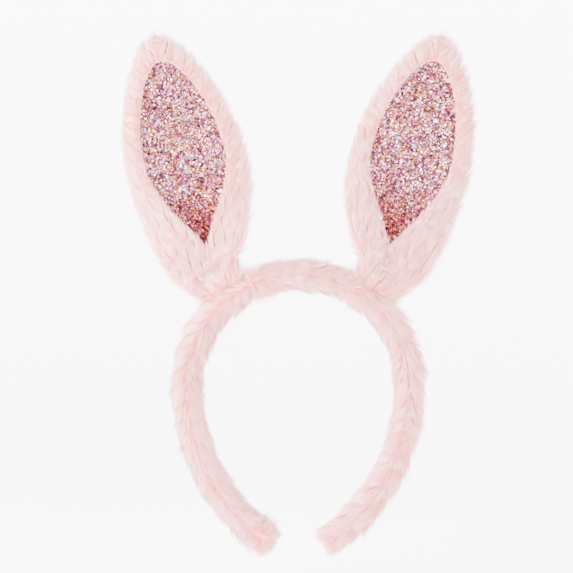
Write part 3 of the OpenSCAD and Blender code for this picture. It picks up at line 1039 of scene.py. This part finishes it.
# %% The flakes' node tree
def flake_tree():
    g, given, out = tree("scatter flakes", [
        ("Density", "Float", 3e6), ("Flake Radius", "Float", 0.00056), ("Tilt", "Float", 0.5),
        ("Seed", "Int", 1), ("Material", "Material", None)])
    disc = add(g, "GeometryNodeMeshCircle", {"Vertices": 6, "Radius": 1.0},
               fill_type="NGON").outputs["Mesh"]
    disc = keep(g, disc, "local", add(g, "GeometryNodeInputPosition").outputs[0])
    scatter = add(g, "GeometryNodeDistributePointsOnFaces", {
        "Mesh": given["Geometry"], "Seed": given["Seed"],
        "Density": calc(g, "MULTIPLY", given["Density"], named(g, "thick", "FLOAT"))})
    chance = add(g, "FunctionNodeRandomValue", {"Seed": given["Seed"]}, data_type="FLOAT_VECTOR")
    points = keep(g, scatter.outputs["Points"], "rnd", chance.outputs["Value"])
    luck = add(g, "ShaderNodeSeparateXYZ", {0: chance.outputs["Value"]}).outputs
    turn = add(g, "FunctionNodeRandomValue", {"Seed": calc(g, "ADD", given["Seed"], 7.0)},
               data_type="FLOAT_VECTOR")
    turn = vec(g, "SUBTRACT", turn.outputs["Value"], (0.5, 0.5, 0.5))
    turn = vec(g, "MULTIPLY", turn, (2.0, 2.0, 6.3))
    lean = add(g, "ShaderNodeCombineXYZ", {0: given["Tilt"], 1: given["Tilt"], 2: 1.0}).outputs[0]
    own = add(g, "FunctionNodeEulerToRotation", {0: vec(g, "MULTIPLY", turn, lean)}).outputs[0]
    turned = add(g, "FunctionNodeRotateRotation", {
        "Rotation": scatter.outputs["Rotation"], "Rotate By": own},
        rotation_space="LOCAL").outputs[0]
    large = calc(g, "POWER", luck["Z"], 60.0)
    size = calc(g, "MULTIPLY", given["Flake Radius"], calc(
        g, "ADD", calc(g, "MULTIPLY_ADD", luck["Y"], 0.5, 0.75), calc(g, "MULTIPLY", large, 2.0)))
    height = calc(g, "MULTIPLY_ADD", luck["Z"], 0.0003, 0.00012)
    raised = vec(g, "SCALE", scatter.outputs["Normal"], scale=height)
    points = add(g, "GeometryNodeSetPosition", {"Geometry": points, "Offset": raised}).outputs[0]
    # the flake's colour pick and the painted fold shade, read from the cloth's pile value
    pick = add(g, "ShaderNodeCombineXYZ", {0: luck["X"], 1: named(g, "pile", "FLOAT"), 2: 0.0})
    points = keep(g, points, "root", pick.outputs[0])
    laid = add(g, "GeometryNodeInstanceOnPoints", {
        "Points": points, "Instance": disc, "Rotation": turned, "Scale": size}).outputs[0]
    flakes = add(g, "GeometryNodeRealizeInstances", {0: laid}).outputs[0]
    place = vec(g, "ADD", vec(g, "SCALE", named(g, "local"), scale=0.003), named(g, "root"))
    flakes = keep(g, flakes, "OFBake", place, "FLOAT2", "CORNER")
    done = add(g, "GeometryNodeSetMaterial", {"Geometry": flakes, "Material": given["Material"]})
    g.links.new(done.outputs[0], out["Geometry"])
    return g


# %% [markdown]
# ## The cloth under the flakes
# The cloth is stretched on the felt and runs on under the fur, so it is one thin closed sheet a
# little wider than the opening.

# %% Cloth under the flakes
def glitter_ground(side, name, material):
    rings, k = [], np.linspace(-1, 1, 17)
    top = min(HOLE_1 + 0.012, RIM_TOP - 0.01)
    for s in 0.05 + (top - 0.05) * spaced(48):
        w = float(hole_w(s)) + 2.2 * MM
        rings.append(np.concatenate([ear_point(side, s, k * w, 0.05 * MM + 0 * k),
                                     ear_point(side, s, k * w, 0.75 * MM + 0 * k)[::-1]]))
    piece = from_rings(name, rings, material=material)
    u, v = ear_local(side, points_of(piece))
    # painted shade: darker toward the foot of the fold and its middle, stored as pile for the flakes
    painted_fold_shade = (1 - ease((v - 14 * MM) / (62 * MM))) * (1 - 0.35 * np.minimum(1, np.abs(u) / (18 * MM)))
    store(piece, "pile", np.clip(painted_fold_shade, 0.02, 0.98))
    store(piece, "thick", (normals_of(piece)[:, 1] < -0.3).astype(float))
    return piece


# %% [markdown]
# ## The turned edge
# Where the border is sewn down, a thin folded edge of backing shows as a warm pink line. It is a
# small round bead that follows the opening.

# %% Turned edge of the border
def edge_material():
    m, nodes, links, shader = blank_material("turned edge", 0.8, Sheen_Weight=0.2)
    place = nodes.new("ShaderNodeTexCoord")
    weave = nodes.new("ShaderNodeTexNoise")
    weave.inputs["Scale"].default_value = 700
    ramp = nodes.new("ShaderNodeValToRGB")
    set_ramp(ramp, [(0.3, rgb(222, 96, 98)), (0.7, rgb(240, 140, 140))])
    links.new(place.outputs["Object"], weave.inputs["Vector"])
    links.new(weave.outputs["Fac"], ramp.inputs["Fac"])
    links.new(ramp.outputs["Color"], shader.inputs["Base Color"])
    return m


def glitter_edge(side, name, material):
    """The thin turned edge where the fur border is sewn down on the glitter cloth."""
    t = spaced(60)
    path = [(x, 1) for x in t] + [(x, -1) for x in t[::-1][1:-1]]
    centre = np.array([ear_point(side, up, k * (float(hole_w(up)) + 0.35 * MM), -0.5 * MM)
                       for x, k in path for up in [0.03 + (HOLE_1 - 0.03) * x]])
    onward = unit(np.roll(centre, -1, axis=0) - np.roll(centre, 1, axis=0))
    across = unit(np.cross(onward, (0, 1, 0)))
    q = np.linspace(0, 2 * math.pi, 8, endpoint=False)
    rings = [c + np.outer(np.cos(q), a) * 0.75 * MM + np.outer(np.sin(q), (0, 1, 0)) * 0.5 * MM
             for c, a in zip(centre, across)]
    return from_rings(name, rings, closed=True, material=material)


# %% [markdown]
# ## Both panels
# The same calls make both panels. Only the side and the seed of the flakes differ.

# %% Both glitter panels
GROUND, FLAKE, EDGE, FLAKE_TREE = ground_material(), flake_material(), edge_material(), flake_tree()
panels = {}
for word, side in SIDES.items():
    ground = glitter_ground(side, word + "_glitter_cloth", GROUND)
    flakes = run(ground, FLAKE_TREE, word + "_glitter_flakes",
                 {"Density": 2.6e6, "Seed": 51 + side, "Material": FLAKE})
    panels[word] = ground, flakes, glitter_edge(side, word + "_glitter_edge", EDGE)
    print(word, "panel:", len(flakes.data.polygons), "flakes")

# %% [markdown]
# ## The hard parts inside
# Nothing of these shows on the whole headband, but each keeps its own finish: a springy white
# moulding in the tube, a bright drawn wire in each ear, and grey pink felt behind the glitter.

# %% Finishes of the hard parts
def grained_material(name, dark, light, scale, roughness, **sockets):
    m, nodes, links, shader = blank_material(name, roughness, **sockets)
    place = nodes.new("ShaderNodeTexCoord")
    noise = nodes.new("ShaderNodeTexNoise")
    noise.inputs["Scale"].default_value = scale
    ramp = nodes.new("ShaderNodeValToRGB")
    set_ramp(ramp, [(0.3, rgb(*dark)), (0.7, rgb(*light))])
    links.new(place.outputs["Object"], noise.inputs["Vector"])
    links.new(noise.outputs["Fac"], ramp.inputs["Fac"])
    links.new(ramp.outputs["Color"], shader.inputs["Base Color"])
    return m


STRIP = grained_material("moulded spring strip", (226, 222, 218), (238, 235, 231), 160, 0.38)
WIRE = grained_material("drawn wire", (158, 158, 160), (196, 196, 198), 900, 0.3, Metallic=1.0)
FELT = grained_material("felt", (214, 170, 172), (232, 194, 196), 520, 0.95, Sheen_Weight=0.3)
for name, node in frame["nodes"].items():
    finish = (STRIP if name.endswith("_strip") else WIRE if "wire" in name else
              FELT if name.endswith("stiffener") else THREAD if name.endswith("binding") else
              SKIN if name.endswith("collar") else None)
    if finish:
        node.data.materials.clear()
        node.data.materials.append(finish)

# %% [markdown]
# ## Stage, light and camera
# A plain pale floor that curves up behind, broad soft lights, and a long lens straight ahead.

# %% Stage
def backdrop_material():
    m, nodes, links, shader = blank_material("pale paper", 0.9)
    shader.inputs["Base Color"].default_value = (0.95, 0.95, 0.95, 1)
    shader.inputs["Emission Color"].default_value = (1, 1, 1, 1)
    shader.inputs["Emission Strength"].default_value = 3.6
    return m


def backdrop():
    """A round pale floor that curves up into a low wall, the same from every side."""
    floor_z, flat, bend = cad_box[0][2] - 0.02, 1.9, 0.8
    line = [(0.4, floor_z), (1.2, floor_z)] + [
        (flat + bend * math.sin(a), floor_z + bend * (1 - math.cos(a)))
        for a in np.linspace(0, math.pi / 2, 12)] + [(flat + bend, 1.3)]
    turn = np.linspace(0, 2 * math.pi, 64, endpoint=False)
    rings = [np.stack([r * np.cos(turn), r * np.sin(turn), z + 0 * turn], 1) for r, z in line]
    verts = np.concatenate(rings + [[[0, 0, floor_z]]])
    faces = [(64 * i + j, 64 * i + (j + 1) % 64, 64 * i + 64 + (j + 1) % 64, 64 * i + 64 + j)
             for i in range(len(line) - 1) for j in range(64)]
    faces += [(len(verts) - 1, (j + 1) % 64, j) for j in range(64)]
    floor = new_piece("backdrop", verts, faces, backdrop_material())
    floor.data.flip_normals()
    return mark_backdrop(floor)


backdrop()


# %% [markdown]
# ## Light
# Pale fur loses its locks in flat light. One broad light from the left and above gives them a
# soft side, and two weak ones keep the shaded side pale.

# %% Lights
def soft_light(name, place, size, power):
    lamp = bpy.data.lights.new(name, "AREA")
    lamp.size, lamp.energy = size, power
    piece = bpy.data.objects.new(name, lamp)
    piece.location = place
    piece.rotation_euler = (-Vector(place)).to_track_quat("-Z", "Y").to_euler()
    bpy.context.scene.collection.objects.link(piece)


soft_light("key", (-1.3, -1.2, 0.7), 0.9, 230)
soft_light("fill", (1.2, -1.2, 0.5), 1.2, 30)
soft_light("top", (0.1, -0.1, 1.5), 1.0, 30)
world = bpy.context.scene.world or bpy.data.worlds.new("room")
bpy.context.scene.world = world
world.use_nodes = True
world.node_tree.nodes["Background"].inputs["Color"].default_value = (1, 1, 1, 1)
world.node_tree.nodes["Background"].inputs["Strength"].default_value = 0.9

# %% [markdown]
# ## Camera
# A long lens from far off keeps the ears and the legs at one scale, as a catalogue view does.

# %% Camera
lens = bpy.data.cameras.new("front")
lens.sensor_width, lens.lens = 36, 147
camera = bpy.data.objects.new("front", lens)
camera.location = (-0.0074, -1.5, 0.0025)
camera.rotation_euler = (math.pi / 2, 0, 0)
bpy.context.scene.collection.objects.link(camera)
bpy.context.scene.camera = camera

# %% [markdown]
# ## What rides on what
# Skins and pile follow the body they are sewn to. Where fur crosses a joint it bends.

# %% Legs: what rides and bends, and which frame parts are hidden
def dress_leg(word, side):
    """The leg's fur bends at the crease beside the ear."""
    skin, piles = tube_fur[word + "_leg"]
    seam, drawn_up = thread[word + "_leg_seam"], thread[word + "_tip_stitches"]
    onward = Vector((side * math.cos(math.radians(25)), 0, -math.sin(math.radians(25))))
    hinge = Vector((side * HINGE.x, 0, HINGE.z))
    start, end = hinge - onward * 0.003, hinge + onward * 0.008
    for piece in [skin, seam] + piles:
        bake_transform(piece, "crown", word + "_leg", start=start, end=end)
    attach(drawn_up, word + "_leg")
    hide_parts(word + "_leg_sleeve", word + "_tip_patch")
    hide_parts(word + "_leg_seam")
    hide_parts(word + "_tip_stitches")


# %% [markdown]
# ## An ear on its wire
# The ear tilts and splays on the bendable wire in its roll. Its skins, pile and panel keep
# their feet on the root and bend into the ear over the next 13 mm, as the gathered cloth does.

# %% Ears: what bends, and which frame parts are hidden
def dress_ear(word, side):
    out = Vector(foot_axes(side)[1])
    pivot = Vector((side * PIVOT.x, 0, PIVOT.z))
    start, end = pivot + out * 0.001, pivot + out * 0.014
    for piece in (*ears[word], *panels[word]):
        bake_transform(piece, word + "_ear_root", word + "_ear", start=start, end=end)
    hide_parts(word + "_ear_front_fur")
    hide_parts(word + "_ear_back_fur")
    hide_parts(word + "_ear_collar")
    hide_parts(word + "_ear_glitter")


# %% [markdown]
# ## Both sides and the crown
# Both legs and both ears are dressed as above, and the crown's skin, pile and seam ride on the
# crown, whose sleeve and seam in the frame are hidden.


for word, side in SIDES.items():
    dress_leg(word, side)
    dress_ear(word, side)
skin, piles = tube_fur["crown"]
for piece in [skin, thread["crown_seam"]] + piles:
    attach(piece, "crown")
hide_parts("crown_sleeve")
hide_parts("crown_seam")
